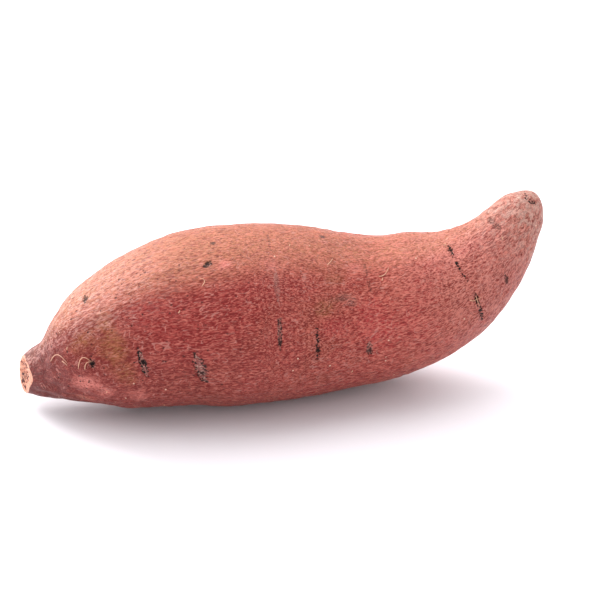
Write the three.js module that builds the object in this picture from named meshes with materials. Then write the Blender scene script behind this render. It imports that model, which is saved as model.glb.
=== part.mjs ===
// A sweet potato: one storage root, broken off its stem at one end and blunt at the other.
// It lies on its side on a small flat spot, with the root tip curving up off the ground.
// Millimetres. +X runs from the broken stem end to the root tip, and +Z is up. The origin is on
// the ground, under the middle of the root's bounding box.

import * as THREE from 'three';
import { ParametricGeometry } from 'three/addons/geometries/ParametricGeometry.js';
import { mergeVertices } from 'three/addons/utils/BufferGeometryUtils.js';

// ---- Driving dimensions ----

const LENGTH = 193; // from the middle of the broken face to the root tip, along X
const BELLY_DIAMETER = 68.6; // at the thickest place
const STEM_DIAMETER = 14; // across the broken face
const TIP_DIAMETER = 14.5; // of the tapering tail where it would reach the tip unrounded
const STEM_DROP = 20; // how far the axis falls from the belly to the stem end
const TIP_RISE = 46; // how far the axis rises from the belly to the root tip
const STEM_SWAY = 12.5; // how far the axis swings to -Y from the belly to the stem end
const TIP_SWAY = 10; // how far the axis swings to +Y from the belly to the root tip
const TIP_ROUNDING = 11; // length of tail, along its axis, that the blunt tip rounds off
const SLANT_LENGTH = 22; // length of neck over which the sections turn to meet the broken face
const BREAK_HOLLOW = 0.8; // how far the broken face dips inside its rim
const FLAT_DEPTH = 0.6; // how deep the ground presses into the belly's underside
const BREAK_FACING = new THREE.Vector3(-0.93, -0.36, 0.06).normalize(); // its outward normal

// The axis and the girth, from the stem end to the belly and on to the root tip. along is a share
// of LENGTH. swell is how far the radius has grown from that end's own to the belly's, bend how
// much of that end's drop or rise is reached, and sway how much of its sideways swing.
const STEM_SIDE = [
  { along: 0, swell: 0, bend: 1, sway: 0.96 },
  { along: 0.025, swell: 0.085, bend: 0.91, sway: 0.99 },
  { along: 0.05, swell: 0.165, bend: 0.85, sway: 1 },
  { along: 0.1, swell: 0.39, bend: 0.65, sway: 0.99 },
  { along: 0.15, swell: 0.62, bend: 0.43, sway: 0.93 },
  { along: 0.2, swell: 0.75, bend: 0.29, sway: 0.77 },
  { along: 0.26, swell: 0.87, bend: 0.16, sway: 0.5 },
  { along: 0.34, swell: 0.975, bend: 0.04, sway: 0.18 },
];
const BELLY = { along: 0.435, swell: 1, bend: 0, sway: 0 };
const TIP_SIDE = [
  { along: 0.53, swell: 0.955, bend: -0.025, sway: 0.39 },
  { along: 0.62, swell: 0.86, bend: -0.055, sway: 0.7 },
  { along: 0.71, swell: 0.755, bend: -0.035, sway: 0.83 },
  { along: 0.79, swell: 0.672, bend: 0.067, sway: 0.86 },
  { along: 0.86, swell: 0.51, bend: 0.215, sway: 0.89 },
  { along: 0.92, swell: 0.32, bend: 0.45, sway: 0.93 },
  { along: 0.965, swell: 0.13, bend: 0.745, sway: 0.97 },
  { along: 1, swell: 0, bend: 1, sway: 1 },
];

// Slow unevenness of the growth: each swells the radius by a share of it, in waves that repeat
// so many times along the root and so many times around it.
const UNEVENNESS = [
  { share: 0.012, along: 0.8, around: 2, phase: 0.6 },
  { share: 0.009, along: 2.3, around: 1, phase: 2.1 },
  { share: 0.007, along: 3.1, around: 3, phase: 4.4 },
  { share: 0.004, along: 6.7, around: 2, phase: 1.3 },
];

// ---- Fineness of the mesh ----

const FACE_RINGS = 3; // from the middle of the broken face to its rim
const BODY_RINGS = 60; // from the rim to where the tip starts to round
const TIP_RINGS = 9; // over the blunt tip
const SEGMENTS = 40; // around each ring
const SKIN_COLOUR = 0xb5605a;

// ---- The axis and the girth as smooth curves ----

const bellyRadius = BELLY_DIAMETER / 2;

// A station's place on the axis and its radius, from the drop or rise, the sway and the radius
// of the end that it lies towards.
function station({ along, swell, bend, sway }, { rise, swing, radius }) {
  return {
    centre: new THREE.Vector3(along * LENGTH, sway * swing, bellyRadius + bend * rise),
    radius: radius + (bellyRadius - radius) * swell,
  };
}

const stemEnd = { rise: -STEM_DROP, swing: -STEM_SWAY, radius: STEM_DIAMETER / 2 };
const tipEnd = { rise: TIP_RISE, swing: TIP_SWAY, radius: TIP_DIAMETER / 2 };
const stations = [
  ...STEM_SIDE.map((s) => station(s, stemEnd)),
  station(BELLY, tipEnd),
  ...TIP_SIDE.map((s) => station(s, tipEnd)),
];
const axis = new THREE.CatmullRomCurve3(
  stations.map((s) => s.centre),
  false,
  'catmullrom',
);
const girth = new THREE.SplineCurve(stations.map((s, i) => new THREE.Vector2(i, s.radius)));
const axisLength = axis.getLength();
const roundingStart = 1 - TIP_ROUNDING / axisLength;

// The section at a share of the axis length: its middle, the direction of the axis there, its
// directions to the -Y side and upwards, and its radius. A quarter of an ellipse closes the tip.
function section(share) {
  const t = axis.getUtoTmapping(share);
  const forward = axis.getTangent(t);
  const side = forward.clone().cross(new THREE.Vector3(0, 0, 1)).normalize();
  const up = side.clone().cross(forward);
  const rounded = Math.max(0, (share - roundingStart) / (1 - roundingStart));
  const radius = girth.getPoint(t).y * Math.sqrt(Math.max(0, 1 - rounded ** 2));
  return { middle: axis.getPoint(t), forward, side, up, radius };
}

// The radius's multiplier at a share of the axis length and an angle around it.
function unevenness(share, angle) {
  const waves = UNEVENNESS.map(
    (w) => w.share * Math.sin(2 * Math.PI * w.along * share + w.around * angle + w.phase),
  );
  return 1 + waves.reduce((sum, wave) => sum + wave, 0);
}

// A point on the skin. Near the stem end it slides along the axis, until at the rim it lies in
// the plane of the broken face.
function skinPoint(share, angle) {
  const { middle, forward, side, up, radius } = section(share);
  const out = side
    .multiplyScalar(Math.cos(angle))
    .addScaledVector(up, Math.sin(angle))
    .multiplyScalar(radius * unevenness(share, angle));
  const slant = Math.max(0, 1 - (share * axisLength) / SLANT_LENGTH) ** 2;
  const slide = (-slant * out.dot(BREAK_FACING)) / forward.dot(BREAK_FACING);
  return middle.add(out).addScaledVector(forward, slide);
}

// A point on the broken face: a shallow dish from its middle, at reach 0, to its rim, at reach 1.
function breakPoint(reach, angle) {
  const middle = section(0).middle;
  return middle
    .clone()
    .lerp(skinPoint(0, angle), reach)
    .addScaledVector(BREAK_FACING, -BREAK_HOLLOW * (1 - reach ** 2));
}

// ---- The solid ----

// A point of the whole surface: u runs from the middle of the broken face to the root tip, and v
// once round. Rings close up towards the tip, where the surface turns fastest.
function surfacePoint(u, v, target) {
  const ring = Math.round(u * (FACE_RINGS + BODY_RINGS + TIP_RINGS));
  const angle = 2 * Math.PI * (v % 1);
  const onBody = ring - FACE_RINGS;
  const onTip = onBody - BODY_RINGS;
  if (onBody < 0) {
    target.copy(breakPoint(ring / FACE_RINGS, angle));
  } else if (onTip < 0) {
    target.copy(skinPoint((onBody / BODY_RINGS) * roundingStart, angle));
  } else {
    const turned = Math.sin(((onTip / TIP_RINGS) * Math.PI) / 2);
    target.copy(skinPoint(roundingStart + (1 - roundingStart) * turned, angle));
  }
}

// Sets the root on the ground: its lowest place is pressed flat, and the origin is put under the
// middle of its bounding box.
function seat(geometry) {
  geometry.computeBoundingBox();
  const { min, max } = geometry.boundingBox;
  geometry.translate(-(min.x + max.x) / 2, -(min.y + max.y) / 2, -min.z - FLAT_DEPTH);
  const position = geometry.getAttribute('position');
  for (let i = 0; i < position.count; i++) {
    position.setZ(i, Math.max(0, position.getZ(i)));
  }
}

function rootGeometry() {
  const rings = FACE_RINGS + BODY_RINGS + TIP_RINGS;
  const grid = new ParametricGeometry(surfacePoint, rings, SEGMENTS);
  grid.deleteAttribute('normal');
  grid.deleteAttribute('uv');
  const closed = mergeVertices(grid, 1e-3);
  seat(closed);
  closed.computeVertexNormals();
  return closed;
}

const skin = new THREE.MeshStandardMaterial({
  color: SKIN_COLOUR,
  roughness: 0.6,
  metalness: 0,
});
const sweetPotato = new THREE.Mesh(rootGeometry(), skin);
sweetPotato.name = 'sweet_potato';

const part = new THREE.Group();
part.add(sweetPotato);

export default part;
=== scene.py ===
"""The look of a sweet potato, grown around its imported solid. Laid out as an add-on, run as a script."""

import functools
import math

import bpy
import numpy as np
from bpy.props import FloatProperty, FloatVectorProperty, IntProperty, PointerProperty
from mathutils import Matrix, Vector


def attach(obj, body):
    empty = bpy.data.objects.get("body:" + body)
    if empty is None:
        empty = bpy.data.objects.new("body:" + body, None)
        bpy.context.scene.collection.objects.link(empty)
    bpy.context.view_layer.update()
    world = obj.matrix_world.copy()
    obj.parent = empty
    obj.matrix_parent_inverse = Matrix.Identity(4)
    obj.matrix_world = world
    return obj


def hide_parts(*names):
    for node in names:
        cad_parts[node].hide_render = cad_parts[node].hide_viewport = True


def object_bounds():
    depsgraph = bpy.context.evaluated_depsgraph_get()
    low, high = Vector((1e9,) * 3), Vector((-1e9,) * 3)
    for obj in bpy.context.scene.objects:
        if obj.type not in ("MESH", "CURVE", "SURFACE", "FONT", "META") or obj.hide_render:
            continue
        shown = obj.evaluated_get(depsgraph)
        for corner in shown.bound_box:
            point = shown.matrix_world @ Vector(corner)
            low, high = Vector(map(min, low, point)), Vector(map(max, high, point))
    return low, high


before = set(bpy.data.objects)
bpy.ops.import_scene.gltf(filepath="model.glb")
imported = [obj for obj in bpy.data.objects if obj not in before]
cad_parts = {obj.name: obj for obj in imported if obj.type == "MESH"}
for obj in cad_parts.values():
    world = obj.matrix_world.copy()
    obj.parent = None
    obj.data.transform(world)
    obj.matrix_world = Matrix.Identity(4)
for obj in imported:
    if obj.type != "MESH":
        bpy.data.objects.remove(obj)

bl_info = {
    "name": "Sweet potato",
    "version": (1, 0, 0),
    "blender": (4, 5, 0),
    "location": "3D View > Sidebar > Sweet potato",
    "description": "Grows the skin, the broken stem end and the fine side roots of a sweet potato",
    "category": "Add Mesh",
}

NODE = "sweet_potato"
MM = 0.001  # metres in a millimetre
CAD_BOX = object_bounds()
UV_MAP = "OFBake"  # the unrolled skin, with the broken face above it

# Attributes of the root's mesh.
STRAIGHT = "straight"  # along the root, then across and up, as if it were straight, in mm
# Some of these tints are painted light and shade, marked at the patches.
TINTS_AND_PAINTED_LIGHT = "tints_and_painted_light"  # how olive, pale and dull the skin is
SCAR_PLACE = "scar_place"  # mm across the nearest scar, up it from its middle, and from its pit
SCAR_KIND = "scar_kind"  # how dark the scar is, how corky, and its half length in mm
FAR = 20.0  # mm from a scar or its pit, past where it shows

# ---- Where things are on the skin ----
# Places are millimetres along the middle line from the stem end, and degrees round it: 0 is the
# front, 90 the top, 180 the back and 270 the underside.

# Scars of lost side roots, which run across the root: along, degrees, half length in mm, lean in
# mm from the lower end to the upper end, how far up the scar its pit is in mm (20 for none), depth
# in mm, darkness, corkiness.
SCARS = [
    (33, 74, 2.2, 0.8, 0.0, 0.40, 0.8, 0.4),
    (29.8, 18, 2.4, 0.6, 0.0, 0.90, 1.0, 0.4),
    (48, 10, 6.6, -1.2, 0.3, 0.60, 1.0, 1.0),
    (66.6, 1, 7.6, -2.2, -2.2, 0.40, 0.9, 1.2),
    (99.4, 18, 7.4, 2.4, -3.8, 0.40, 0.9, 0.7),
    (101.5, 46, 8.5, 1.0, 20.0, 0.05, 0.1, 0.5),
    (113.3, 4, 7.0, 1.4, -2.8, 0.50, 1.0, 0.2),
    (130.8, 348, 3.2, 0.6, -1.2, 0.50, 0.8, 0.7),
    (176.2, 37, 8.4, 0.2, 5.2, 0.50, 1.0, 0.1),
    (174, 336, 6.6, 3.4, 3.4, 0.50, 1.0, 0.15),
    (186.6, 334, 2.4, 1.6, -1.0, 0.30, 0.8, 0.0),
    (212.4, 24, 3.6, 0.6, 20.0, 0.50, 1.2, 0.0),
    (198, 52, 4.2, -0.6, 2.4, 0.25, 0.5, 0.4),
    (101.2, 79, 5.6, -0.6, 20.0, 0.10, 0.5, 0.0),
    (135.2, 49, 6.6, 0.0, 20.0, 0.10, 0.4, 0.1),
    (76.4, 83, 0.8, 0.2, 0.0, 0.10, 0.7, 0.3),
    (72.6, 67, 1.0, 0.4, 0.6, 0.30, 0.9, 0.9),
    (121.6, 93, 1.2, 0.4, 0.0, 0.10, 0.7, 0.3),
    (58, 152, 6.0, 1.0, 1.5, 0.50, 0.9, 0.6),
    (84, 171, 7.0, -1.4, -2.0, 0.40, 0.8, 0.7),
    (109, 158, 5.0, 1.2, 1.0, 0.40, 0.9, 0.3),
    (147, 149, 4.6, 1.0, -1.0, 0.40, 0.8, 0.5),
    (168, 172, 5.4, -1.0, 2.0, 0.40, 0.9, 0.3),
    (40, 221, 5.0, 1.0, 0.0, 0.50, 0.9, 0.5),
    (72, 226, 7.0, 1.6, 3.0, 0.40, 0.7, 0.8),
    (126, 232, 6.0, -1.0, -2.0, 0.40, 1.0, 0.3),
    (157, 242, 5.0, 1.2, 1.4, 0.40, 0.8, 0.4),
    (92, 283, 6.0, 1.0, -1.0, 0.30, 0.7, 0.6),
    (143, 291, 4.0, -0.8, 0.0, 0.30, 0.7, 0.3),
    (194, 208, 3.0, 0.8, 0.0, 0.30, 0.8, 0.2),
]

# Soft patches of other colour, mostly the skin's own and a few of painted light and shade, marked
# below: along, degrees, half length and half width in mm, then how olive (below zero it is a
# deeper red), how pale (below zero it is a brighter red) and how dull.
PATCHES = [
    (37, 50, 4.5, 8, 0.8, 0.0, 0.1),
    (39, 24, 6.0, 8, 0.9, 0.0, 0.1),
    (28, 37, 4.0, 4.5, 0.8, 0.1, 0.0),
    (41, 2, 4.0, 4, 0.6, 0.0, 0.0),
    (25, 1, 5.0, 3.6, 0.0, 0.8, 0.0),
    (31, 350, 4.0, 3.4, 0.0, 0.7, 0.0),
    (42, 343, 5.0, 4.2, 0.0, 0.7, 0.0),
    (21, 334, 3.4, 2.4, 0.6, 0.4, 0.2),
    (77.8, 64, 2.6, 2.8, 0.0, 0.8, 0.0),
    (102, 50, 4.0, 8, 0.1, 0.2, 0.4),
    (117, 28, 3.2, 3, 1.3, 0.0, 0.4),
    (123.8, 34, 4.0, 1.8, 0.8, 0.0, 1.2),
    (127.2, 29, 1.6, 1.3, 0.0, 0.0, 2.8),
    (122, 49, 5.0, 3, 0.9, 0.2, 0.0),
    (100, 61, 3.4, 3.4, 0.0, 0.7, 0.1),
    (131, 60, 3.4, 2.4, 0.0, 0.7, 0.0),
    (119, 13, 5.0, 4.5, 0.0, -0.9, 0.0),
    (134, 8, 7.0, 9, 0.0, -1.0, 0.0),
    (152, 352, 14.0, 9, 0.0, -0.6, 0.0),
    (92, 345, 18.0, 8, 0.0, -0.4, 0.0),
    (182, 352, 2.2, 2.4, 0.0, 0.9, 0.0),
    (183, 60, 8.0, 5, 0.2, 0.4, 0.0),
    (132, 88, 16.0, 6, 0.7, 0.2, 0.0),
    (160, 84, 14.0, 5, 0.5, 0.3, 0.0),
    (208, 15, 7.0, 7, 0.1, 0.3, 0.9),
    (203, 330, 7.0, 6, 0.2, 0.2, 0.6),
    # The next four, deeper red over the upper front, are painted shade where the light from above falls
    # off.
    (54, 48, 12.0, 8, -0.7, 0.0, 0.0),
    (68, 36, 17.0, 15, -1.2, 0.0, 0.0),
    (88, 43, 15.0, 9, -0.8, 0.0, 0.0),
    (108, 46, 11.0, 8, -0.6, 0.0, 0.0),
    # The next two are a painted highlight on the upper shoulder, not paler skin.
    (36, 62, 12.0, 6, 0.0, 0.4, 0.0),
    (54, 76, 14.0, 6, 0.0, 0.3, 0.0),
    (169, 50, 3.0, 2.2, 0.0, 0.7, 0.0),
    (60, 190, 12.0, 10, 0.5, 0.0, 0.1),
    (96, 205, 10.0, 14, -0.4, 0.1, 0.0),
    (132, 190, 9.0, 9, 0.2, 0.5, 0.0),
    (150, 222, 10.0, 7, 0.7, 0.0, 0.2),
    (78, 262, 16.0, 12, 0.0, 0.3, 0.3),
    (120, 276, 14.0, 10, 0.4, 0.2, 0.2),
]

# Fine side roots: along and degrees of the rooted end, of the middle and of the free end, then
# how far the middle and the free end stand off the skin, in mm.
HAIRS = [
    (15.4, 30, 19.0, 35, 21.8, 22, 1.0, 0.1),
    (19.8, 27, 20.6, 25, 21.3, 21, 0.5, 0.2),
    (24.4, 15, 27.2, 25, 30.0, 18, 0.9, 0.0),
    (26.6, 14, 28.0, 20, 30.0, 19, 0.5, 0.0),
    (69.6, 54, 70.7, 57, 69.4, 59, 0.3, 0.4),
    (120.6, 61, 122.0, 64, 123.4, 68, 0.1, 0.3),
    (139.4, 49, 142.4, 49, 145.0, 56, 0.2, 0.2),
    (168.0, 113, 168.2, 112, 168.6, 111, 0.5, 1.3),
    (172.6, 352, 174.6, 346, 176.8, 346, 0.4, 0.3),
    (175.4, 349, 174.8, 344, 174.4, 338, 0.3, 0.1),
    (196.6, 22, 196.4, 19, 196.0, 16, 0.5, 0.1),
    (58.6, 155, 60.4, 158, 62.6, 153, 0.8, 0.6),
    (84.0, 168, 85.6, 163, 88.2, 165, 0.9, 0.4),
    (126.4, 229, 128.6, 226, 130.2, 231, 0.7, 0.5),
    (18.0, 140, 20.6, 150, 23.8, 146, 0.9, 0.3),
    (40.4, 219, 42.2, 216, 43.0, 222, 0.6, 0.4),
]

# Loose flakes of cork: along and degrees.
FLAKES = [
    (62.8, 41), (23.2, 37), (31.0, 350), (52.4, 318), (141.0, 45), (34.4, 75), (109, 77),
    (175.2, 68), (123.6, 331), (88, 132), (46, 186), (138, 207), (71, 250),
]


def linear(code):
    """The linear colour of an sRGB hex code: each channel c is c / 12.92 up to 0.04045, and
    ((c + 0.055) / 1.055) ^ 2.4 above."""
    srgb = np.array([int(code[i : i + 2], 16) for i in (0, 2, 4)]) / 255
    value = np.where(srgb <= 0.04045, srgb / 12.92, ((srgb + 0.055) / 1.055) ** 2.4)
    return (*value.tolist(), 1.0)


# ---- Settings ----


class RootSettings(bpy.types.PropertyGroup):
    """How finely the root is meshed, and how rough its surface is."""

    skin_rings: IntProperty(
        name="Skin rings", description="Rings from the stem end to the tip", default=300, min=60
    )
    segments: IntProperty(
        name="Segments", description="Steps round the root", default=280, min=48
    )
    face_rings: IntProperty(
        name="Face rings", description="Rings over the broken face", default=24, min=4
    )
    unevenness: FloatProperty(
        name="Unevenness",
        description="Height of the slow dips and swells of the skin",
        default=0.15 * MM,
        unit="LENGTH",
    )
    wrinkling: FloatProperty(
        name="Wrinkling",
        description="Height of the larger wrinkles that run along the root",
        default=0.06 * MM,
        unit="LENGTH",
    )
    break_roughness: FloatProperty(
        name="Break roughness",
        description="Height of the torn fibres on the broken face",
        default=0.35 * MM,
        unit="LENGTH",
    )


class SkinSettings(bpy.types.PropertyGroup):
    """The colours of the skin and of the flesh, and the spacing of the skin's wrinkles."""

    rose: FloatVectorProperty(
        name="Rose", description="Main colour of the skin", subtype="COLOR", size=4,
        default=linear("9a342f"),
    )
    brick: FloatVectorProperty(
        name="Brick", description="Browner parts of the skin", subtype="COLOR", size=4,
        default=linear("863a28"),
    )
    flesh: FloatVectorProperty(
        name="Flesh", description="Flesh of the broken end", subtype="COLOR", size=4,
        default=linear("d99e86"),
    )
    wrinkle_spacing: FloatProperty(
        name="Wrinkle spacing",
        description="Distance between the fine wrinkles that run along the root",
        default=1.15 * MM,
        unit="LENGTH",
    )
    wrinkle_height: FloatProperty(
        name="Wrinkle height", description="Height of those wrinkles", default=0.15 * MM,
        unit="LENGTH",
    )
    ridge_height: FloatProperty(
        name="Ridge height", description="Height of the ridges between the finest grooves",
        default=0.3 * MM, unit="LENGTH",
    )
    pore_spacing: FloatProperty(
        name="Pore spacing", description="Distance between the dark pores", default=2.4 * MM,
        unit="LENGTH",
    )


class HairSettings(bpy.types.PropertyGroup):
    """The fine side roots."""

    thickness: FloatProperty(
        name="Thickness", description="Diameter of a side root where it leaves the skin",
        default=0.36 * MM, unit="LENGTH",
    )
    flake_thickness: FloatProperty(
        name="Flake thickness", description="Thickness of a flake of cork", default=0.5 * MM,
        unit="LENGTH",
    )


class StageSettings(bpy.types.PropertyGroup):
    """The floor, the light and the camera."""

    elevation: FloatProperty(
        name="Elevation", description="How far the camera looks down", default=math.radians(28),
        subtype="ANGLE",
    )
    distance: FloatProperty(
        name="Distance", description="From the camera to the root", default=0.634, unit="LENGTH"
    )
    aim_right: FloatProperty(
        name="Aim right", description="How far right of the root's middle the camera aims",
        default=0.0084, unit="LENGTH",
    )
    aim_down: FloatProperty(
        name="Aim down", description="How far below the root's middle the camera aims",
        default=0.0008, unit="LENGTH",
    )
    key_power: FloatProperty(
        name="Key light", description="Power of the light above, in watts", default=26.0
    )
    edge_power: FloatProperty(
        name="Edge light", description="Power of the light behind on the left, in watts", default=11.0
    )
    sky: FloatProperty(name="Sky", description="Brightness of the white surroundings", default=1.05)


# ---- The root's form, read off its solid ----


def spline_basis(place, span, count):
    """Uniform cubic B-splines. At x knots from its middle a spline is 2/3 - x^2 + x^3/2 within one
    knot, (2 - x)^3 / 6 within two, and zero beyond."""
    knot = (place[:, None] - span[0]) / (span[1] - span[0]) * (count - 3)
    x = np.abs(knot - (np.arange(count) - 1))
    return np.where(x < 1, 2 / 3 - x**2 + x**3 / 2, np.clip(2 - x, 0, None) ** 3 / 6)


def turns_basis(angle, order):
    """One, then the cosine and sine of each whole multiple of the angle up to the order."""
    multiples = angle[:, None] * np.arange(1, order + 1)
    return np.hstack([np.ones((len(angle), 1)), np.cos(multiples), np.sin(multiples)])


def least_squares(basis, values, stiffness, blocks=1):
    """Coefficients that fit the values, while stiffness times their second differences along the
    root stay small. Coefficients of the same spline lie next to each other, blocks at a time."""
    count = basis.shape[1] // blocks
    bend = np.kron(np.diff(np.eye(count), 2, axis=0), np.eye(blocks)) * stiffness
    rows = np.vstack([basis, bend])
    goal = np.concatenate([values, np.zeros((len(bend), *values.shape[1:]))])
    return np.linalg.lstsq(rows, goal, rcond=None)[0]


def unit(vectors):
    """Each vector divided by its length."""
    return vectors / np.linalg.norm(vectors, axis=-1, keepdims=True)


def path_length(points):
    """The length of the path up to each of its points."""
    return np.concatenate([[0], np.cumsum(np.linalg.norm(np.diff(points, axis=0), axis=1))])


def grown_noise(points, wavelength, seed, waves=48):
    """A smooth random pattern: the sum of sin(2 pi d / length + phase) over waves in random
    directions, where d is the distance along one, with lengths from 0.8 to 1.25 of the one given.
    It is scaled so that its square averages one."""
    random = np.random.default_rng(seed)
    direction = unit(random.normal(size=(waves, 3)))
    length = wavelength * random.uniform(0.8, 1.25, waves)
    phase = random.uniform(0, 2 * np.pi, waves)
    swing = points @ (direction * 2 * np.pi / length[:, None]).T + phase
    return np.sin(swing).sum(axis=-1) * math.sqrt(2 / waves)


def bump(distance, width):
    """A bell that is one at zero and falls to 1/e at the width: exp(-(distance / width)^2)."""
    return np.exp(-((distance / width) ** 2))


class RootForm:
    """The middle line and girth of the solid, in millimetres, and its flat broken face."""

    LINE_SPLINES = 12
    REACH = 55  # farther than this from a place on the line, a point belongs to another stretch
    GIRTH_SPLINES = 44
    TURNS = 3  # whole waves round the root that its girth is fitted with
    FLAT = 0.02  # a point lower than this is on the pressed flat place
    BEFORE = -6.0  # where along the line its girth is worked out from, past the broken face's rim
    BEHIND = 8.0  # the farthest along that the rim can be
    RIM_STEPS = 24  # halvings that find the rim
    AT_RIM = 0.05  # a point nearer the broken face's plane than this is on its rim
    HOLLOW_REACH = 1.5  # a point farther behind that plane than this is on the skin

    def __init__(self, mesh):
        corners = np.empty(len(mesh.vertices) * 3, np.float32)
        mesh.vertices.foreach_get("co", corners)
        points = np.unique(corners.reshape(-1, 3).round(6), axis=0) / MM
        self.find_face(mesh)
        self.find_line(points)
        self.find_girth(points)

    def find_face(self, mesh):
        """The broken face's outward normal and a point in the plane of its rim: the mean normal of
        the facets within reach of the stem end that look away from the root."""
        normals = np.empty(len(mesh.polygons) * 3, np.float32)
        centres = np.empty(len(mesh.polygons) * 3, np.float32)
        areas = np.empty(len(mesh.polygons), np.float32)
        mesh.polygons.foreach_get("normal", normals)
        mesh.polygons.foreach_get("center", centres)
        mesh.polygons.foreach_get("area", areas)
        normals, centres = normals.reshape(-1, 3), centres.reshape(-1, 3) / MM
        reach, steep = 6, -0.8  # mm from the stem end, and how far back a normal points
        looks_back = (centres[:, 0] < centres[:, 0].min() + reach) & (normals[:, 0] < steep)
        weights = (areas * looks_back)[:, None]
        self.face_normal = unit((normals * weights).sum(axis=0))
        middle = (centres * weights).sum(axis=0) / weights.sum()
        rim = (centres[looks_back] @ self.face_normal).max()
        self.face_middle = middle + self.face_normal * (rim - middle @ self.face_normal)

    def find_line(self, points):
        """The middle line, from the broken face's middle to the point that is farthest along it.
        It runs through the middles of slabs cut square to it, smoothed by a spline, and the slabs
        are cut again until the line settles. Past both ends it goes straight on."""
        slabs, thickness, rounds, ahead, fine_steps = 90, 3.0, 12, 8.0, 1500
        stiffness, hold = 0.5, 20
        held = np.ones((slabs, 1))
        held[[0, -1]] = hold
        end = points[np.linalg.norm(points - self.face_middle, axis=1).argmax()]
        line = self.face_middle + np.outer(np.linspace(0, 1, slabs), end - self.face_middle)
        for _ in range(rounds):
            forward = unit(np.gradient(line, axis=0))
            end = points[(points @ forward[-4]).argmax()]
            away = points[None] - line[:, None]
            ahead_of = (away * forward[:, None]).sum(axis=2)
            near = np.linalg.norm(away, axis=2) < self.REACH
            weights = bump(ahead_of, thickness) * near
            middles = weights @ points / weights.sum(axis=1, keepdims=True)
            middles[0], middles[-1] = self.face_middle, end
            along = path_length(middles)
            span = (0, along[-1])
            basis = spline_basis(along, span, self.LINE_SPLINES)
            fitted = least_squares(basis * held, middles * held, stiffness)
            line = spline_basis(np.linspace(*span, slabs), span, self.LINE_SPLINES) @ fitted
        fine = spline_basis(np.linspace(*span, fine_steps), span, self.LINE_SPLINES) @ fitted
        first, last = unit(fine[1] - fine[0]), unit(fine[-1] - fine[-2])
        self.line = np.vstack([fine[0] - first * ahead, fine, fine[-1] + last * ahead])
        self.line_along = path_length(self.line) - ahead
        self.line_forward = unit(np.gradient(self.line, self.line_along, axis=0))

    def place(self, points):
        """Along, angle and distance from the middle line of each point: from the nearest of every
        fourth place on the line, then straight ahead or back from there."""
        skip = 4
        gap = ((points[:, None, :] - self.line[None, ::skip]) ** 2).sum(axis=2)
        nearest = gap.argmin(axis=1) * skip
        away = points - self.line[nearest]
        further = (away * self.line_forward[nearest]).sum(axis=1)
        along = self.line_along[nearest] + further
        middle, forward, side, up = self.section(along)
        away = points - middle
        across, height = (away * side).sum(axis=1), (away * up).sum(axis=1)
        return along, np.arctan2(height, across), np.hypot(across, height)

    def section(self, along):
        """Middle, forward, side (to the front) and up directions at places along the line."""
        middle = np.stack([np.interp(along, self.line_along, c) for c in self.line.T], axis=-1)
        forward = unit(
            np.stack([np.interp(along, self.line_along, c) for c in self.line_forward.T], axis=-1)
        )
        side = unit(np.cross(forward, (0, 0, 1)))
        return middle, forward, side, np.cross(side, forward)

    def find_girth(self, points):
        """The square of the radius, as splines along the line times turns round it, fitted to the
        skin's points. The square goes to zero evenly at the tip."""
        tip_points, tip_hold, stiffness = 12, 8, 0.4
        along, angle, radius = self.place(points)
        off_face = (self.face_middle - points) @ self.face_normal
        past_hollow = (off_face > self.HOLLOW_REACH) | (off_face < self.AT_RIM)
        skin = (points[:, 2] > self.FLAT) & past_hollow
        self.tip = along.max()
        self.girth_span = (self.BEFORE, self.tip)
        closed = np.linspace(0, 2 * np.pi, tip_points, endpoint=False)
        along = np.concatenate([along[skin], np.full(tip_points, self.tip)])
        angle = np.concatenate([angle[skin], closed])
        square = np.concatenate([radius[skin] ** 2, np.zeros(tip_points)])
        weight = np.concatenate([np.ones(skin.sum()), np.full(tip_points, tip_hold)])[:, None]
        basis = self.girth_basis(along, angle)
        blocks = 2 * self.TURNS + 1
        self.girth = least_squares(basis * weight, square * weight[:, 0], stiffness, blocks)

    def girth_basis(self, along, angle):
        """Each spline along the line times each turn round it."""
        splines = spline_basis(along, self.girth_span, self.GIRTH_SPLINES)
        turns = turns_basis(angle, self.TURNS)
        return (splines[:, :, None] * turns[:, None, :]).reshape(len(along), -1)

    def radius(self, along, angle):
        """The skin's distance from the middle line."""
        along, angle = np.broadcast_arrays(along, angle)
        splines = spline_basis(along.ravel(), self.girth_span, self.GIRTH_SPLINES)
        turns = turns_basis(angle.ravel(), self.TURNS)
        girth = self.girth.reshape(self.GIRTH_SPLINES, -1)
        square = ((splines @ girth) * turns).sum(axis=1)
        return np.sqrt(np.clip(square, 0, None)).reshape(along.shape)

    def point(self, along, angle, radius):
        """The point at a place along, an angle and a distance from the middle line."""
        middle, _, side, up = self.section(along)
        out = side * np.cos(angle)[..., None] + up * np.sin(angle)[..., None]
        return middle + out * radius[..., None]

    def rim(self, angle):
        """Where the skin along each angle meets the plane of the broken face, by halving the
        stretch in which it lies."""
        low, high = np.full(len(angle), self.BEFORE), np.full(len(angle), self.BEHIND)
        for _ in range(self.RIM_STEPS):
            middle = (low + high) / 2
            points = self.point(middle, angle, self.radius(middle, angle))
            outside = (points - self.face_middle) @ self.face_normal > 0
            low, high = np.where(outside, middle, low), np.where(outside, high, middle)
        return (low + high) / 2


# ---- Meshes ----


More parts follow.
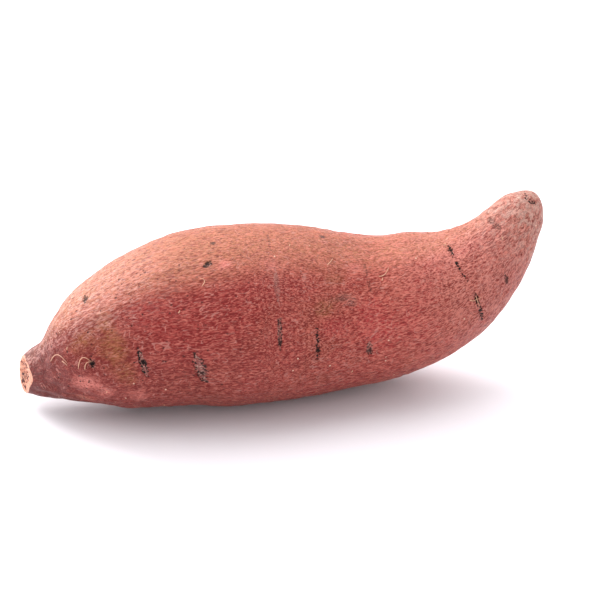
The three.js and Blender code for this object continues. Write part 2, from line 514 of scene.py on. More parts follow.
def tube_faces(rows, segments, first=0):
    """Faces of a tube closed by a pole at each end, facing outwards: rows of points, with the
    first and last row one point each, numbered from first."""
    ring = first + 1 + np.arange(rows - 2)[:, None] * segments
    here = np.arange(segments)
    after = (here + 1) % segments
    low, high = ring[:-1], ring[1:]
    quads = np.stack([low + here, high + here, high + after, low + after], axis=-1).reshape(-1, 4)
    last = first + 1 + (rows - 2) * segments
    start = np.stack([np.full(segments, first), ring[0] + here, ring[0] + after], axis=-1)
    end = np.stack([np.full(segments, last), ring[-1] + after, ring[-1] + here], axis=-1)
    return [*start.tolist(), *quads.tolist(), *end.tolist()]


def tube_points(grid):
    """The points of such a tube from a grid of rows: the first and last rows become one point."""
    return np.vstack([grid[0].mean(axis=0), grid[1:-1].reshape(-1, 3), grid[-1].mean(axis=0)])


def tube_corners(low, high):
    """The place on the map of each corner of those faces, from the places of the lower and the
    upper edge of each row of faces, whose last column closes the seam."""
    middle = (low[0, :-1] + low[0, 1:]) / 2
    start = np.stack([middle, high[0, :-1], high[0, 1:]], axis=1)
    quads = np.stack([low[1:-1, :-1], high[1:-1, :-1], high[1:-1, 1:], low[1:-1, 1:]], axis=2)
    middle = (high[-1, :-1] + high[-1, 1:]) / 2
    end = np.stack([middle, low[-1, 1:], low[-1, :-1]], axis=1)
    return np.concatenate([part.reshape(-1, 2) for part in (start, quads, end)])


def add_piece(name, points, faces, corners):
    """A smooth mesh object from points in millimetres, with the map of its surface."""
    mesh = bpy.data.meshes.new(name)
    mesh.from_pydata((points * MM).tolist(), [], faces)
    mesh.shade_smooth()
    mesh.uv_layers.new(name=UV_MAP).data.foreach_set("uv", corners.astype(np.float32).ravel())
    piece = bpy.data.objects.new(name, mesh)
    bpy.context.scene.collection.objects.link(piece)
    return piece


def add_attribute(mesh, name, values):
    """A vector for each vertex."""
    attribute = mesh.attributes.new(name, "FLOAT_VECTOR", "POINT")
    attribute.data.foreach_set("vector", np.asarray(values, np.float32).ravel())


# ---- The root ----


@functools.cache
def root_form():
    """The form of the solid, worked out once."""
    return RootForm(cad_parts[NODE].data)


def turn_from(angle, degrees):
    """How far an angle is turned from a number of degrees, between minus and plus half a turn."""
    return (angle - math.radians(degrees) + np.pi) % (2 * np.pi) - np.pi


def scar_fields(along, angle, radius):
    """For each place on the skin: how far it sinks, where it lies on the nearest scar and what
    kind of scar that is. A scar is a groove, depth * 0.7 * (bell(across) - 0.35 * bell of a lip
    each side), which fades over its ends, and a pit, depth * bell(distance from the pit)."""
    groove_width, lip_away, lip_width, pit_width, end_fade = 0.8, 1.8, 0.9, 1.1, 0.5  # mm
    groove_share, lip_share = 0.7, 0.35
    mark_across, mark_past_end = 5, 4  # mm in which a place belongs to the scar
    sink = np.zeros_like(along)
    place = np.full((*along.shape, 3), FAR)
    kind = np.zeros((*along.shape, 3))
    for scar_along, degrees, half, lean, pit, depth, dark, cork in SCARS:
        up = turn_from(angle, degrees) * radius
        across = along - scar_along - lean * np.clip(up / half, -1, 1) / 2
        ends = 1 / (1 + np.exp((np.abs(up) - half) / end_fade))
        lips = bump(np.abs(across) - lip_away, lip_width)
        groove = bump(across, groove_width) - lip_share * lips
        hole = bump(np.hypot(across, up - pit), pit_width)
        sink += depth * (groove * ends * groove_share + hole)
        near = (np.abs(across) < mark_across) & (np.abs(up) < half + mark_past_end)
        place[near] = np.stack([across, up, up - pit], axis=-1)[near]
        kind[near] = (dark, cork, half)
    return sink, place, kind


def tint_and_painted_light_field(along, angle, radius):
    """How olive, pale and dull the skin is, painted shade and painted highlight included: the sum over
    the patches of tint * exp(-r^2), where r is the distance from a patch's middle, in half lengths
    along the root and half widths round."""
    tints_and_painted_light = np.zeros((*along.shape, 3))
    for patch_along, degrees, half_length, half_width, *tints in PATCHES:
        up = turn_from(angle, degrees) * radius
        away = np.hypot((along - patch_along) / half_length, up / half_width)
        tints_and_painted_light += bump(away, 1)[..., None] * np.array(tints)
    return tints_and_painted_light


def relief(along, angle, radius, settings):
    """How far the skin stands off the smooth form: slow dips and swells, wrinkles, and ridges that
    are strongest on the neck and the tail, less what the scars sink. Ridges are 1 / 0.13 times and
    wrinkles 1 / 0.4 times as long along the root as across it."""
    neck_middle, neck_reach, tail_start, tail_fade = 4, 16, 172, 9  # mm along
    straight = straightened(along, angle, radius)
    swells = grown_noise(straight, wavelength=34, seed=11)
    dips = grown_noise(straight, wavelength=13, seed=12)
    slow = 0.8 * swells + 0.35 * dips
    neck = bump(along - neck_middle, neck_reach)
    tail = 1 / (1 + np.exp((tail_start - along) / tail_fade))
    ridged = grown_noise(straight * (0.13, 1, 1), wavelength=4.4, seed=13)
    ridges = ridged * (0.05 + 0.3 * neck + 0.1 * tail)
    wrinkles = grown_noise(straight * (0.4, 1, 1), wavelength=2.5, seed=14)
    sink = scar_fields(along, angle, radius)[0]
    return (
        settings.unevenness / MM * slow + ridges + settings.wrinkling / MM * wrinkles - sink
    )


def straightened(along, angle, radius):
    """Where a place on the skin would lie if the root were straight."""
    return np.stack([along, radius * np.cos(angle), radius * np.sin(angle)], axis=-1)


def grow_root(settings):
    """The root's mesh. Its rows run from the middle of the broken face to its rim, over a narrow
    bevel of bare flesh, along the skin and over the tip."""
    form = root_form()
    segments = settings.segments
    angle = np.linspace(0, 2 * np.pi, segments, endpoint=False)
    rim = form.rim(angle)

    # the skin's edge stands back from the rim, most at a chip in front, more sharply below it
    chip_degrees, chip_above, chip_below = 5, 0.6, 0.25  # where it is, then its reach in radians
    bare, waver, chip_length, least = 0.45, 0.12, 1.3, 0.15  # mm
    circle = np.stack([np.cos(angle), np.sin(angle), 0 * angle], axis=-1)
    from_chip = turn_from(angle, chip_degrees)
    chip = bump(from_chip, np.where(from_chip > 0, chip_above, chip_below))
    wavering = waver * grown_noise(circle, wavelength=0.5, seed=3)
    edge = np.clip(bare + wavering + chip_length * chip, least, None)

    bevel_rows, tip_rows, tip_length = 5, 26, 14
    bevel = np.linspace(0, 1, bevel_rows + 1)[1:, None]
    body = np.linspace(0, 1, settings.skin_rings)[1:, None]
    over_tip = np.sin(np.linspace(0, np.pi / 2, tip_rows))[1:, None]
    skin_start, body_end = rim + edge, form.tip - tip_length
    along = np.vstack([
        rim[None],
        rim + edge * bevel,
        skin_start + (body_end - skin_start) * body,
        body_end + tip_length * over_tip + 0 * angle,
    ])
    around = np.broadcast_to(angle, along.shape)
    radius = form.radius(along, around)
    fade_at_tip, fade_at_rim = 8, 4  # mm over which the relief grows from nothing
    past_rim = along - rim
    fade = np.clip((form.tip - along) / fade_at_tip, 0, 1) * np.clip(past_rim / fade_at_rim, 0, 1)
    on_bevel = np.clip(past_rim / edge, 0, 1)
    skin_thickness, chip_depth, bevel_curve = 0.35, 0.6, 1.5
    cut_back = (skin_thickness + chip_depth * chip) * (1 - on_bevel) ** bevel_curve
    grown = np.clip(radius + relief(along, around, radius, settings) * fade - cut_back, 0, None)
    skin = form.point(along, around, grown)

    # the broken face: from its middle to the rim, hollow and torn
    reach = np.linspace(0, 1, settings.face_rings, endpoint=False)[:, None, None]
    face = form.face_middle + (skin[0] - form.face_middle) * reach
    hollow_depth, rim_sharpness = 0.8, 6
    coarse = grown_noise(face, wavelength=2.4, seed=21)
    fine = grown_noise(face, wavelength=1.2, seed=22)
    torn = 0.6 * coarse + 0.5 * fine
    hollow = hollow_depth * (1 - reach[..., 0] ** 2)
    roughness = settings.break_roughness / MM * torn
    drop = hollow - roughness * (1 - reach[..., 0] ** rim_sharpness)
    face = face - form.face_normal * drop[..., None]

    grid = np.concatenate([face, skin])
    grid[..., 2] = np.maximum(grid[..., 2], 0)
    flesh_rows = settings.face_rings + bevel_rows
    corners = root_corners(grid, flesh_rows)
    root = add_piece(
        "storage_root", tube_points(grid), tube_faces(len(grid), segments), corners
    )

    straight = straightened(along, around, radius)
    face_straight = straight[:1] * (reach * (0, 1, 1) + (1, 0, 0))
    _, scar_place, scar_kind = scar_fields(along, around, radius)
    tints_and_painted_light = tint_and_painted_light_field(along, around, radius)
    flat = np.zeros(face.shape)  # nothing grows and nothing is scarred on the flesh
    for name, on_face, on_skin in (
        (STRAIGHT, face_straight, straight),
        (TINTS_AND_PAINTED_LIGHT, flat, tints_and_painted_light),
        (SCAR_PLACE, flat + FAR, scar_place),
        (SCAR_KIND, flat, scar_kind),
    ):
        add_attribute(root.data, name, tube_points(np.concatenate([on_face, on_skin])))
    slots = np.ones(len(root.data.polygons), np.int32)
    slots[: flesh_rows * segments] = 0
    return root, slots


def root_corners(grid, flesh_rows):
    """The map of the root: the skin unrolled into a strip, a share of the way round by a share of
    the way along, and the flesh as a disc above it."""
    rows, segments = grid.shape[:2]
    skin_height, disc_middle, disc_radius = 0.9, (0.05, 0.95), 0.045
    mean_row = grid.mean(axis=1)
    height = path_length(mean_row) / path_length(mean_row)[-1] * skin_height
    round_share = np.linspace(0, 1, segments + 1)
    strip = np.stack(np.broadcast_arrays(round_share, height[:, None]), axis=-1)
    outward = np.arange(rows)[:, None, None] / flesh_rows
    turn = round_share * 2 * np.pi
    disc = disc_middle + disc_radius * outward * np.stack([np.cos(turn), np.sin(turn)], axis=-1)
    on_flesh = np.arange(rows - 1)[:, None, None] < flesh_rows
    low = np.where(on_flesh, disc[:-1], strip[:-1])
    high = np.where(on_flesh, disc[1:], strip[1:])
    return tube_corners(low, high)


# ---- The side roots ----


def grow_hairs(root_settings, settings):
    """The fine side roots and the flakes of cork. Each is a closed tube along a curve over three
    places on the skin, with its middle and its free end lifted off it. At a share w of the way its
    radius is thickness / 2 * (1 - 0.55 w) * sqrt(1 - (2 w - 1)^8), which rounds both ends."""
    form = root_form()
    steps, segments = 13, 8
    flake, flake_lift = 0.5, 0.1  # mm from the middle of a flake to its end, and off the skin
    rooted = -0.3  # how far the rooted end lies under the skin, in thicknesses
    taper, blunt = 0.55, 8
    paths = [(*hair, settings.thickness / MM) for hair in HAIRS]
    for along, degrees in FLAKES:
        turn = math.degrees(flake / float(form.radius(along, math.radians(degrees))))
        ends = (along - flake / 2, degrees - turn, along, degrees, along + flake / 2, degrees + turn)
        paths.append((*ends, flake_lift, 0.0, settings.flake_thickness / MM))
    values = np.array(paths)
    way = np.linspace(0, 1, steps)
    # weights of the three places, so that the curve passes over each of them
    weights = np.stack([(1 - way) * (1 - 2 * way), 4 * way * (1 - way), way * (2 * way - 1)])
    along = values[:, 0:5:2] @ weights
    angle = np.radians(values[:, 1:6:2] @ weights)
    thickness = values[:, 8:]
    lifts = np.stack([rooted * thickness[:, 0], values[:, 6], values[:, 7]], axis=1) @ weights
    radius = form.radius(along, angle)
    radius = radius + relief(along, angle, radius, root_settings) + lifts
    middle, _, side, up = form.section(along)
    outward = side * np.cos(angle)[..., None] + up * np.sin(angle)[..., None]
    path = middle + outward * radius[..., None]
    forward = unit(np.gradient(path, axis=1))
    across = unit(np.cross(outward, forward))
    outward = np.cross(forward, across)
    ends = np.sqrt(np.clip(1 - (2 * way - 1) ** blunt, 0, None))
    girth = thickness / 2 * (1 - taper * way) * ends
    turn = np.linspace(0, 2 * np.pi, segments, endpoint=False)
    ring = (
        outward[:, :, None] * np.cos(turn)[:, None] + across[:, :, None] * np.sin(turn)[:, None]
    )
    grids = path[:, :, None] + ring * girth[..., None, None]
    grids[..., 2] = np.maximum(grids[..., 2], 0)

    count = 2 + (steps - 2) * segments
    points = np.vstack([tube_points(grid) for grid in grids])
    faces = [f for i in range(len(grids)) for f in tube_faces(steps, segments, i * count)]
    # on the map each is a strip from end to end, beside the one before with a gap between
    filled = 0.9
    share = np.linspace(0, filled, segments + 1)
    corners = []
    for i in range(len(grids)):
        strip = np.stack(np.broadcast_arrays((i + share) / len(grids), way[:, None]), axis=-1)
        corners.append(tube_corners(strip[:-1], strip[1:]))
    return add_piece("root_hairs", points, faces, np.concatenate(corners))


# ---- Materials ----


def add(tree, kind, inputs, **settings):
    """A new shader node with its settings, and a value or a link for each named input."""
    made = tree.nodes.new("ShaderNode" + kind)
    for name, value in settings.items():
        setattr(made, name, value)
    for name, value in inputs.items():
        if isinstance(value, bpy.types.NodeSocket):
            tree.links.new(value, made.inputs[name])
        else:
            made.inputs[name].default_value = value
    return made


def new_material(name):
    """An empty node material and its tree."""
    material = bpy.data.materials.new(name)
    material.use_nodes = True
    material.node_tree.nodes.clear()
    return material, material.node_tree


def scar_masks(tree, noise):
    """Where a scar is dark, where it has healed over, and where that is corky. A scar is as wide as
    1 - (up / half length)^2. A clean one is one row of dark beads, a corky one has a row along
    each edge, and its pit is a ragged spot."""
    fields = []
    for name in (SCAR_PLACE, SCAR_KIND):
        vector = add(tree, "Attribute", {}, attribute_name=name).outputs["Vector"]
        fields.extend(add(tree, "SeparateXYZ", {"Vector": vector}).outputs)
    across, up, from_pit, dark, cork, half = fields

    wander, pit_wander, band_width = 1.3, 1.8, 1.5  # mm
    swing = add(tree, "Math", {0: noise["ragged"], 1: 0.5}, operation="SUBTRACT").outputs[0]
    ragged = add(
        tree, "Math", {0: swing, 1: wander, 2: across}, operation="MULTIPLY_ADD"
    ).outputs[0]
    aside = add(tree, "Math", {0: ragged}, operation="ABSOLUTE").outputs[0]
    share = add(tree, "Math", {0: up, 1: half}, operation="DIVIDE").outputs[0]
    share = add(tree, "Math", {0: share, 1: 2.0}, operation="POWER").outputs[0]
    lens = add(tree, "Math", {0: 1.0, 1: share}, operation="SUBTRACT", use_clamp=True).outputs[0]
    row = add(tree, "Math", {0: cork, 1: lens}, operation="MULTIPLY").outputs[0]
    to_row = add(tree, "Math", {0: aside, 1: row}, operation="SUBTRACT").outputs[0]
    to_row = add(tree, "Math", {0: to_row}, operation="ABSOLUTE").outputs[0]
    within = add(tree, "Math", {0: lens, 1: band_width}, operation="MULTIPLY").outputs[0]
    within = add(tree, "Math", {0: within, 1: aside}, operation="SUBTRACT").outputs[0]
    flat = add(tree, "CombineXYZ", {"X": ragged, "Y": from_pit}).outputs[0]
    to_pit = add(tree, "VectorMath", {0: flat}, operation="LENGTH").outputs["Value"]
    to_pit = add(
        tree, "Math", {0: noise["grit"], 1: pit_wander, 2: to_pit}, operation="MULTIPLY_ADD"
    ).outputs[0]
    # smooth steps: from where to where, and how high they go
    parts = {}
    for name, (value, start, end, top) in {
        "row": (to_row, 0.6, 0.3, 1.0),
        "beads": (noise["bead"], 0.5, 0.55, 1.0),
        "ends": (share, 1.0, 0.75, 1.0),
        "pit": (to_pit, 2.1, 1.35, 1.0),
        "band": (within, 0.0, 0.6, 1.0),
        "corky": (cork, 0.0, 1.0, 0.6),
        "rough": (noise["grit"], 0.5, 0.6, 1.0),
    }.items():
        parts[name] = add(
            tree, "MapRange",
            {"Value": value, "From Min": start, "From Max": end, "To Max": top},
            interpolation_type="SMOOTHSTEP",
        ).outputs[0]

    # the dark line, the healed band and the corky parts of that band
    masks = []
    for start, factors in (
        (parts["row"], (parts["beads"], parts["ends"])),
        (parts["band"], (parts["corky"],)),
        (parts["band"], (parts["corky"], parts["rough"])),
    ):
        mask = start
        for factor in factors:
            mask = add(tree, "Math", {0: mask, 1: factor}, operation="MULTIPLY").outputs[0]
        masks.append(mask)
    line, healed, corky = masks
    darkest = add(tree, "Math", {0: line, 1: parts["pit"]}, operation="MAXIMUM").outputs[0]
    darkest = add(tree, "Math", {0: darkest, 1: dark}, operation="MULTIPLY").outputs[0]
    return darkest, healed, corky


def skin_material(settings):
    """Periderm, the thin corky skin of the root, as it comes washed and dried. It is dull, with a
    faint bloom at the edges and fine pale threads that run along it over a deeper red. Its colour
    also holds painted light: a paler top, streaks of painted sheen on the shoulder, painted shade
    over the upper front, and lit and shaded flecks in the grain."""
    material, tree = new_material("periderm")
    place = add(tree, "Attribute", {}, attribute_name=STRAIGHT).outputs["Vector"]
    tints_and_painted_light = add(tree, "Attribute", {}, attribute_name=TINTS_AND_PAINTED_LIGHT).outputs["Vector"]
    along = add(tree, "SeparateXYZ", {"Vector": place}).outputs[0]
    round_it = add(tree, "VectorMath", {0: place, 1: (0, 1, 1)}, operation="MULTIPLY").outputs[0]
    outward = add(tree, "VectorMath", {0: round_it}, operation="NORMALIZE").outputs[0]
    upward = add(tree, "SeparateXYZ", {"Vector": outward}).outputs[2]
    olive, pale, dull = add(tree, "SeparateXYZ", {"Vector": tints_and_painted_light}).outputs
    spacing = settings.wrinkle_spacing / MM

    # noise patterns: how far they stretch along the root, their grain across it in mm, their
    # detail and their distortion. The finest wrinkles of real skin are too fine to show, so these
    # are drawn coarser.
    noise = {}
    for name, (stretch, size, detail, distortion) in {
        "broad": (1.3, 15, 2, 0.4),
        "cloud": (1.4, 4.5, 3, 0.4),
        "mottle": (1.5, 1.8, 2, 0.3),
        "wrinkle": (3, spacing * 0.75, 1, 0.7),
        "fibre": (5.5, spacing * 0.6, 1, 0.3),
        "fine": (3.8, spacing * 0.38, 1, 0.5),
        "crease": (1.8, 5, 2, 1.4),
        "grit": (1, 0.5, 1, 0),
        "ragged": (1, 0.9, 1, 0),
        "bead": (1, 0.75, 0, 0),
    }.items():
        squeezed = add(
            tree, "Mapping", {"Vector": place, "Scale": (1 / stretch, 1, 1)}
        ).outputs[0]
        noise[name] = add(
            tree, "TexNoise",
            {"Vector": squeezed, "Scale": 1 / size, "Detail": detail, "Distortion": distortion},
        ).outputs["Fac"]

    # the neck's and the tail's edges wander by this many mm
    edge_wander = 12
    wandering = add(
        tree, "Math", {0: noise["cloud"], 1: edge_wander, 2: along}, operation="MULTIPLY_ADD"
    ).outputs[0]
    # the grain turns from wrinkles to longer fibres from the belly's end to the tail
    fibrous = add(
        tree, "MapRange", {"Value": along, "From Min": 120, "From Max": 185, "To Max": 0.9}
    ).outputs[0]
    grain = add(
        tree, "Mix", {0: fibrous, 2: noise["wrinkle"], 3: noise["fibre"]}, data_type="FLOAT"
    ).outputs[0]
    # threads and creases lie where a pattern passes through its middle value
    to_line = {}
    for name, value in {"thread": grain, "crease": noise["crease"]}.items():
        off = add(tree, "Math", {0: value, 1: 0.5}, operation="SUBTRACT").outputs[0]
        to_line[name] = add(tree, "Math", {0: off}, operation="ABSOLUTE").outputs[0]
    # pores and specks lie at the middles of cells this many mm apart
    spots = {}
    for name, apart in {"pore": settings.pore_spacing / MM, "speck": 6.5}.items():
        spots[name] = add(
            tree, "TexVoronoi", {"Vector": place, "Scale": 1 / apart}
        ).outputs["Distance"]

    # smooth steps: from where to where, and how high they go
    masks = {}
    for name, (value, start, end, top) in {
        "neck": (wandering, 33, 12, 0.9),
        "tail": (wandering, 190, 216, 0.8),
        "stemward": (along, 150, 30, 0.9),
        "tailward": (along, 130, 210, 0.68),
        # the top is paler: partly the skin's dusty tan, partly painted light from above
        "top_tan_and_painted_light": (upward, 0.72, 1.0, 0.75),
        "uppermost": (upward, 0.45, 0.9, 0.8),
        "crisp": (along, -60, 175, 1.3),
        "brick": (noise["broad"], 0.42, 0.62, 0.8),
        "dusty": (noise["cloud"], 0.5, 0.7, 0.5),
        "deep": (noise["cloud"], 0.5, 0.32, 0.45),
        "mottled": (noise["mottle"], 0.5, 0.7, 0.3),
        "groove": (to_line["thread"], 0.08, 0.18, 0.7),
        "thread": (to_line["thread"], 0.1, 0.02, 0.5),
        "frayed": (to_line["thread"], 0.08, 0.02, 0.6),
        "shaded": (noise["fine"], 0.48, 0.34, 0.6),
        "lit": (noise["fine"], 0.52, 0.66, 0.65),
        "pore": (spots["pore"], 0.2, 0.11, 0.9),
        "porous": (noise["cloud"], 0.42, 0.55, 1.2),
        "speck": (spots["speck"], 0.07, 0.04, 0.7),
        "crease": (to_line["crease"], 0.025, 0.0, 0.5),
        "creased": (noise["mottle"], 0.45, 0.55, 1.0),
        "patchy": (noise["cloud"], 0.25, 0.6, 1.3),
        "olive": (olive, 0.0, 1.0, 0.9),
        "red": (olive, 0.0, -1.0, 0.95),
        "pale": (pale, 0.0, 1.0, 0.9),
        "flushed": (pale, 0.0, -1.0, 0.85),
        "dull": (dull, 0.0, 1.5, 0.9),
        "scuffed": (noise["mottle"], 0.4, 0.65, 0.55),
        # pale streaks of painted sheen on the upper shoulder
        "painted_sheen_streaks": (noise["fibre"], 0.48, 0.64, 0.45),
        "shoulder": (along, 85, 25, 1.0),
    }.items():
        masks[name] = add(
            tree, "MapRange",
            {"Value": value, "From Min": start, "From Max": end, "To Max": top},
            interpolation_type="SMOOTHSTEP",
        ).outputs[0]
    masks["dark"], masks["healed"], masks["corky"] = scar_masks(tree, noise)

    # masks kept to where another one is
    for name, limit in {
        "porous": "stemward",
        "pore": "porous",
        "crease": "creased",
        "thread": "crisp",
        "lit": "crisp",
        "frayed": "tailward",
        "olive": "patchy",
        "pale": "patchy",
        "dull": "patchy",
        "scuffed": "tail",
        "painted_sheen_streaks": "shoulder",
    }.items():
        masks[name] = add(
            tree, "Math", {0: masks[name], 1: masks[limit]}, operation="MULTIPLY"
        ).outputs[0]
    # the painted sheen streaks stay on the upper side
    masks["painted_sheen_streaks"] = add(
        tree, "Math", {0: masks["painted_sheen_streaks"], 1: masks["uppermost"]}, operation="MULTIPLY"
    ).outputs[0]

    # coats of colour over the rose, each laid on as thick as its mask says
    colour = settings.rose
    for name, coat in {
        "brick": settings.brick,
        "stemward": linear("5e1210"),
        "tailward": linear("c07068"),
        "deep": linear("5c1b18"),
        "dusty": linear("9c4c42"),
        # deeper red; over the upper front it is painted shade
        "red": linear("7c1618"),
        "flushed": linear("aa3638"),
        # paler tan on the top, partly the skin's own tan and partly painted light from above
        "top_tan_and_painted_light": linear("b27b58"),
        "olive": linear("7c4c26"),
        # mostly paler skin; on the upper shoulder a painted highlight
        "pale": linear("c8776c"),
        "dull": linear("4b322c"),
        "neck": linear("421b1b"),
        "tail": linear("a06c5c"),
        "mottled": linear("9c483f"),
        "groove": linear("6c1c1a"),
        "thread": linear("bc6256"),
        "frayed": linear("e0aa9c"),
        "shaded": linear("641918"),
        "lit": linear("c47264"),
        "crease": linear("c0847a"),
        # painted sheen: pale streaks on the upper shoulder
        "painted_sheen_streaks": linear("dcaa9e"),
        "scuffed": linear("d6b4a6"),
        "pore": linear("3f1614"),
        "speck": linear("e6c3ac"),
        "healed": linear("84504c"),
        "corky": linear("c09a8c"),
        "dark": linear("1d0b0a"),
    }.items():
        colour = add(
            tree, "Mix", {0: masks[name], 6: colour, 7: coat}, data_type="RGBA"
        ).outputs[2]

    # how far each rises or sinks, in mm
    height = 0.0
    for value, rise in (
        (noise["grit"], 0.05),
        (masks["thread"], settings.ridge_height / MM),
        (masks["lit"], settings.wrinkle_height / MM),
        (masks["pore"], -0.15),
        (masks["crease"], 0.1),
        (masks["corky"], 0.25),
        (masks["dark"], -0.5),
    ):
        height = add(
            tree, "Math", {0: value, 1: rise, 2: height}, operation="MULTIPLY_ADD"
        ).outputs[0]
    shader = add(
        tree, "BsdfPrincipled",
        {
            "Base Color": colour,
            "Roughness": add(
                tree, "MapRange",
                {"Value": grain, "From Min": 0.3, "From Max": 0.7, "To Min": 0.55, "To Max": 0.4},
            ).outputs[0],
            "Normal": add(tree, "Bump", {"Height": height, "Distance": MM}).outputs[0],
            "IOR": 1.45,
            "Specular IOR Level": 0.22,
            "Sheen Weight": 0.03,
            "Sheen Roughness": 0.45,
            "Sheen Tint": linear("f6d0b8"),
        },
    )
    add(tree, "OutputMaterial", {"Surface": shader.outputs[0]})
    return material


def flesh_material(settings):
    """Raw flesh, torn across and dried at the surface: pale and fibrous, with open vessels as dark
    holes, and palest under the skin."""
    material, tree = new_material("torn_flesh")
    place = add(tree, "Attribute", {}, attribute_name=STRAIGHT).outputs["Vector"]
    over_face = add(tree, "VectorMath", {0: place, 1: (0, 1, 1)}, operation="MULTIPLY").outputs[0]
    from_middle = add(tree, "VectorMath", {0: over_face}, operation="LENGTH").outputs["Value"]
    # noise patterns: their grain in mm, their detail and their distortion
    noise = {}
    for name, (size, detail, distortion) in {
        "holes": (1.5, 1, 0.9),
        "fibres": (0.5, 2, 0.6),
        "stains": (2.6, 2, 0.3),
    }.items():
        noise[name] = add(
            tree, "TexNoise",
            {"Vector": place, "Scale": 1 / size, "Detail": detail, "Distortion": distortion},
        ).outputs["Fac"]
    vessel_spacing = 1.1  # mm
    vessels = add(
        tree, "TexVoronoi", {"Vector": place, "Scale": 1 / vessel_spacing}
    ).outputs["Distance"]
    # smooth steps: from where to where, and how high they go
    masks = {}
    for name, (value, start, end, top) in {
        "stain": (noise["stains"], 0.42, 0.58, 0.8),
        "fibre": (noise["fibres"], 0.54, 0.4, 0.7),
        "vessel": (vessels, 0.34, 0.18, 0.8),
        "hole": (noise["holes"], 0.53, 0.58, 1.0),
        "inside": (from_middle, 6.6, 5.4, 1.0),
    }.items():
        masks[name] = add(
            tree, "MapRange",
            {"Value": value, "From Min": start, "From Max": end, "To Max": top},
            interpolation_type="SMOOTHSTEP",
        ).outputs[0]
    for name in ("hole", "vessel", "stain"):
        masks[name] = add(
            tree, "Math", {0: masks[name], 1: masks["inside"]}, operation="MULTIPLY"
        ).outputs[0]
    colour = settings.flesh
    for name, coat in {
        "stain": linear("b86a4c"),
        "fibre": linear("a3604a"),
        "vessel": linear("8a4230"),
        "hole": linear("4c1a12"),
    }.items():
        colour = add(
            tree, "Mix", {0: masks[name], 6: colour, 7: coat}, data_type="RGBA"
        ).outputs[2]
    height = 0.0
    for value, rise in ((noise["fibres"], 0.3), (masks["vessel"], -0.2), (masks["hole"], -0.5)):
        height = add(
            tree, "Math", {0: value, 1: rise, 2: height}, operation="MULTIPLY_ADD"
        ).outputs[0]
    shader = add(
        tree, "BsdfPrincipled",
        {
            "Base Color": colour,
            "Roughness": 0.6,
            "Normal": add(tree, "Bump", {"Height": height, "Distance": MM}).outputs[0],
            "IOR": 1.4,
        },
    )
    add(tree, "OutputMaterial", {"Surface": shader.outputs[0]})
    return material


def fibre_material():
    """Dried root fibre: straw coloured and dull, with paler and browner lengths."""
    material, tree = new_material("dried_root_fibre")
    stretch = 1.5 * MM  # from a paler length to a browner one
    place = add(tree, "TexCoord", {}).outputs["Object"]
    lengths = add(tree, "TexNoise", {"Vector": place, "Scale": 1 / stretch}).outputs["Fac"]
    colour = add(
        tree, "Mix", {0: lengths, 6: linear("e0b094"), 7: linear("b07c60")}, data_type="RGBA"
    ).outputs[2]
    relief_bump = add(tree, "Bump", {"Height": lengths, "Distance": 0.03 * MM}).outputs[0]
    shader = add(
        tree, "BsdfPrincipled", {"Base Color": colour, "Roughness": 0.6, "Normal": relief_bump}
    )
    add(tree, "OutputMaterial", {"Surface": shader.outputs[0]})
    return material


def floor_material():
    """Matt white board, which gives a plain pale floor with no gleam."""
    material, tree = new_material("white_board")
    shader = add(tree, "BsdfPrincipled", {"Base Color": linear("e4e1e6"), "Roughness": 0.9})
    add(tree, "OutputMaterial", {"Surface": shader.outputs[0]})
    return material


# ---- Operators ----


class SWEETPOTATO_OT_root(bpy.types.Operator):
    """Grow the root with its skin and its broken stem end"""

    bl_idname = "sweet_potato.root"
    bl_label = "Grow root"

    def execute(self, context):
        scene = context.scene
        root, slots = grow_root(scene.potato_root)
        root.data.materials.append(flesh_material(scene.potato_skin))
        root.data.materials.append(skin_material(scene.potato_skin))
        root.data.polygons.foreach_set("material_index", slots)
        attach(root, "root")
        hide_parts(NODE)
        return {"FINISHED"}


class SWEETPOTATO_OT_hairs(bpy.types.Operator):
    """Grow the fine side roots and the flakes of cork on the skin"""

    bl_idname = "sweet_potato.hairs"
    bl_label = "Grow side roots"

    def execute(self, context):
        scene = context.scene
        hairs = grow_hairs(scene.potato_root, scene.potato_hairs)
        hairs.data.materials.append(fibre_material())
        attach(hairs, "root")
        return {"FINISHED"}


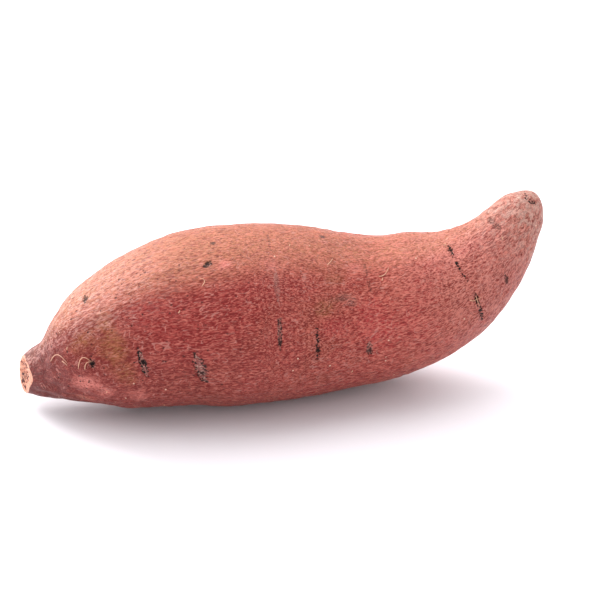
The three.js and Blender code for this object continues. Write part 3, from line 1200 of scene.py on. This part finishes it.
class SWEETPOTATO_OT_stage(bpy.types.Operator):
    """Set the floor, the light and the camera"""

    bl_idname = "sweet_potato.stage"
    bl_label = "Set stage"

    def execute(self, context):
        settings = context.scene.potato_stage
        reach = 6.0  # metres from the middle of the floor to each of its edges
        corners = [(-reach, -reach, 0), (reach, -reach, 0), (reach, reach, 0), (-reach, reach, 0)]
        mesh = bpy.data.meshes.new("floor")
        mesh.from_pydata(corners, [], [(0, 1, 2, 3)])
        mesh.materials.append(floor_material())
        floor = bpy.data.objects.new("floor", mesh)
        context.scene.collection.objects.link(floor)

        world = bpy.data.worlds.new("white_room")
        world.use_nodes = True
        world.node_tree.nodes["Background"].inputs["Color"].default_value = linear("ffffff")
        world.node_tree.nodes["Background"].inputs["Strength"].default_value = settings.sky
        context.scene.world = world

        low, high = CAD_BOX
        middle = (low + high) / 2
        aim = middle + Vector((settings.aim_right, 0, -settings.aim_down))
        # a long soft light overhead, a little behind, and a small one low behind on the left
        place_light("key", middle, (-0.2, 0.34, 0.9), (3.4, 1.2), settings.key_power)
        place_light("edge", middle, (-0.75, 0.6, 0.5), (0.5, 0.5), settings.edge_power)

        camera = bpy.data.objects.new("camera", bpy.data.cameras.new("camera"))
        camera.data.lens = 100  # mm, as is the sensor's width
        camera.data.sensor_width = 36
        tilt = settings.elevation
        back = Vector((0, -math.cos(tilt), math.sin(tilt)))
        camera.location = aim + back * settings.distance
        camera.rotation_euler = (math.pi / 2 - tilt, 0, 0)
        context.scene.collection.objects.link(camera)
        context.scene.camera = camera
        context.scene.view_settings.view_transform = "Standard"
        return {"FINISHED"}


def place_light(name, target, offset, size, power):
    """A rectangular area light at an offset from the target, facing it, as wide and high as its
    size says."""
    light = bpy.data.lights.new(name, "AREA")
    light.shape = "RECTANGLE"
    light.size, light.size_y = size
    light.energy = power
    lamp = bpy.data.objects.new(name, light)
    lamp.location = target + Vector(offset)
    lamp.rotation_euler = Vector(offset).to_track_quat("Z", "Y").to_euler()
    bpy.context.scene.collection.objects.link(lamp)


class SWEETPOTATO_PT_panel(bpy.types.Panel):
    """Lists the steps that make the sweet potato"""

    bl_idname = "SWEETPOTATO_PT_panel"
    bl_label = "Sweet potato"
    bl_space_type = "VIEW_3D"
    bl_region_type = "UI"
    bl_category = "Sweet potato"

    def draw(self, context):
        for operator in OPERATORS:
            self.layout.operator(operator.bl_idname)
        for group in GROUPS:
            settings = getattr(context.scene, group)
            for name in settings.bl_rna.properties.keys():
                if name not in ("rna_type", "name"):
                    self.layout.prop(settings, name)


GROUPS = {
    "potato_root": RootSettings,
    "potato_skin": SkinSettings,
    "potato_hairs": HairSettings,
    "potato_stage": StageSettings,
}
OPERATORS = [SWEETPOTATO_OT_root, SWEETPOTATO_OT_hairs, SWEETPOTATO_OT_stage]
CLASSES = [*GROUPS.values(), *OPERATORS, SWEETPOTATO_PT_panel]


def register():
    """Registers the classes and hangs each group of settings on the scene."""
    for cls in CLASSES:
        bpy.utils.register_class(cls)
    for name, group in GROUPS.items():
        setattr(bpy.types.Scene, name, PointerProperty(type=group))


def unregister():
    """Takes the settings and the classes away again."""
    for name in GROUPS:
        delattr(bpy.types.Scene, name)
    for cls in reversed(CLASSES):
        bpy.utils.unregister_class(cls)


def main():
    """Makes everything."""
    register()
    bpy.ops.sweet_potato.root()
    bpy.ops.sweet_potato.hairs()
    bpy.ops.sweet_potato.stage()


if __name__ == "__main__":
    main()
